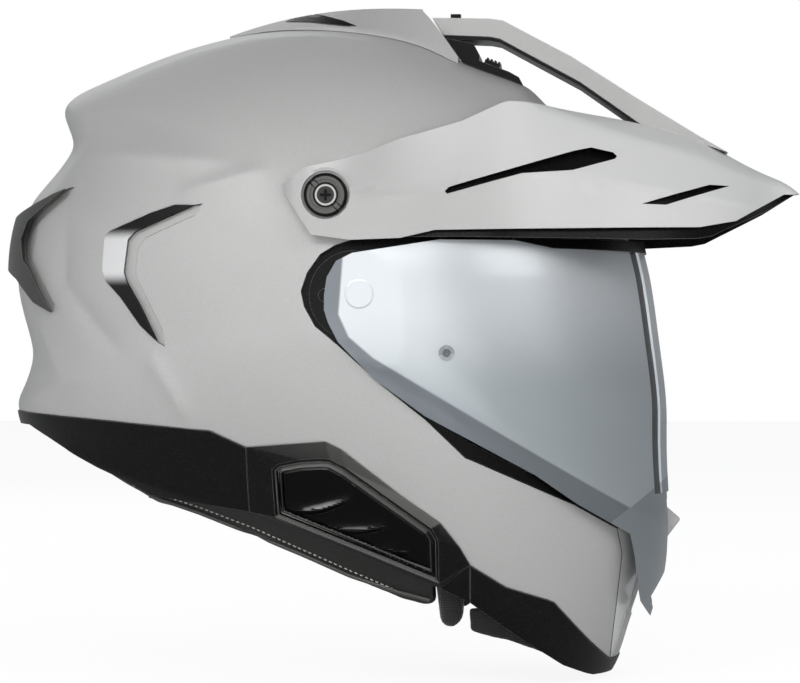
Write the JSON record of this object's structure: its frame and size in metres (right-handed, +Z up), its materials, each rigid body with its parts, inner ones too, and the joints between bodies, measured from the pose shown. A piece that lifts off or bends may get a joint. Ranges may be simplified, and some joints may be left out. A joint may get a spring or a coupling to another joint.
{
  "type": "dual sport helmet",
  "caption": "Full-face dual sport helmet with a long vented peak, a mirrored face shield that lifts, an inner sun visor, vents, padding and a chin strap.",
  "frame": {"origin": "centre of the head space, on the mid-plane, level with the shield's pivots to within 1 mm", "axes": "+X to the wearer's front, +Y to the wearer's left, +Z up, helmet level as worn"},
  "size_m": [0.3932, 0.2536, 0.3275],
  "materials": {
    "shell_paint": "clear-coated metallic grey",
    "peak_paint": "clear-coated pale grey",
    "black_trim": "grained, satin",
    "vent_silver": "satin silver",
    "vent_dark": "satin",
    "shield_sheet": "silver mirror coated polycarbonate",
    "clear_lens": "clear",
    "tint_lens": "smoke tint",
    "foam": "moulded foam",
    "padding": "brushed fabric",
    "roll_leather": "stitched",
    "webbing": "woven",
    "steel": "satin",
    "gunmetal": "anodised gunmetal",
    "black_screw": "black"
  },
  "bodies": {
    "helmet": {"outer_shell": "shell_paint", "front_vent_blade_right": "vent_silver", "front_vent_blade_left": "vent_silver", "front_vent_scoop_right": "shell_paint", "front_vent_scoop_left": "shell_paint", "rear_vent_blade_right": "vent_dark", "rear_vent_blade_left": "vent_dark", "rear_vent_scoop_right": "shell_paint", "rear_vent_scoop_left": "shell_paint", "rear_lower_trim": "black_trim", "side_bezel_right": "black_trim", "side_bezel_left": "black_trim", "side_cover_right": "black_trim", "side_cover_left": "black_trim", "chin_trim": "black_trim", "chin_centre": "shell_paint", "chin_insert_right": "vent_silver", "chin_insert_left": "vent_silver", "chin_vent_grille": "black_trim", "eyeport_frame": "black_trim", "shield_base_right": "black_trim", "shield_base_left": "black_trim", "shield_base_screws": "black_screw", "sun_visor_pins": "steel", "foam_liner": "foam", "crown_pad": "padding", "cheek_pad_right": "padding", "cheek_pad_left": "padding", "neck_roll": "roll_leather", "chin_foam": "foam", "chin_curtain": "padding", "breath_guard": "black_trim", "chin_strap_right": "webbing", "chin_strap_left": "webbing", "strap_rivets": "steel", "top_vent_cover": "shell_paint", "crown_vent_insert": "vent_dark", "brow_vent_base": "black_trim", "peak": "peak_paint", "peak_liner": "black_trim"},
    "face_shield": {"shield": "shield_sheet", "shield_top_band": "black_trim", "fog_lens": "clear_lens", "lens_pins": "clear_lens"},
    "inner_visor": {"sun_visor": "tint_lens"},
    "visor_lever": {"sun_visor_lever": "black_trim"},
    "brow_slider": {"brow_vent_slider": "black_trim"},
    "mouth_shutter": {"chin_vent_shutter": "black_trim"},
    "knob_right": {"peak_knob_right": "gunmetal", "peak_screw_right": "gunmetal"},
    "knob_left": {"peak_knob_left": "gunmetal", "peak_screw_left": "gunmetal"},
    "lock_tab": {"peak_lock_tab": "black_trim"},
    "rings": {"strap_rings": "steel"}
  },
  "joints": [
    {"name": "shield_hinge", "type": "hinge", "parent": "helmet", "child": "face_shield", "pos_m": [0.02, 0, 0.001], "axis": [0, -1, 0], "range_deg": [0, 25]},
    {"name": "sun_visor_hinge", "type": "hinge", "parent": "helmet", "child": "inner_visor", "pos_m": [0.02, 0, 0.001], "axis": [0, 1, 0], "range_deg": [0, 40]},
    {"name": "visor_lever_slide", "type": "slide", "parent": "helmet", "child": "visor_lever", "axis": [1, 0, 0], "range_m": [0, 0.018]},
    {"name": "brow_vent_slide", "type": "slide", "parent": "helmet", "child": "brow_slider", "axis": [0.9373, 0, -0.3486], "range_m": [0, 0.004]},
    {"name": "mouth_shutter_slide", "type": "slide", "parent": "helmet", "child": "mouth_shutter", "axis": [-0.2588, 0, -0.9659], "range_m": [0, 0.007]},
    {"name": "peak_knob_right_turn", "type": "hinge", "parent": "helmet", "child": "knob_right", "pos_m": [0.007, -0.119, 0.048], "axis": [0, -1, 0], "range_deg": [0, 90]},
    {"name": "peak_knob_left_turn", "type": "hinge", "parent": "helmet", "child": "knob_left", "pos_m": [0.007, 0.119, 0.048], "axis": [0, 1, 0], "range_deg": [0, 90]},
    {"name": "peak_lock_slide", "type": "slide", "parent": "helmet", "child": "lock_tab", "axis": [1, 0, 0], "range_m": [0, 0.0025]},
    {"name": "strap_ring_hinge", "type": "hinge", "parent": "helmet", "child": "rings", "pos_m": [0.038, -0.014, -0.1365], "axis": [1, 0, 0], "range_deg": [-20, 20]}
  ],
  "couplings": [
    {"joint": "visor_lever_slide", "follows": "sun_visor_hinge", "m_per_rad": 0.02578}
  ]
}
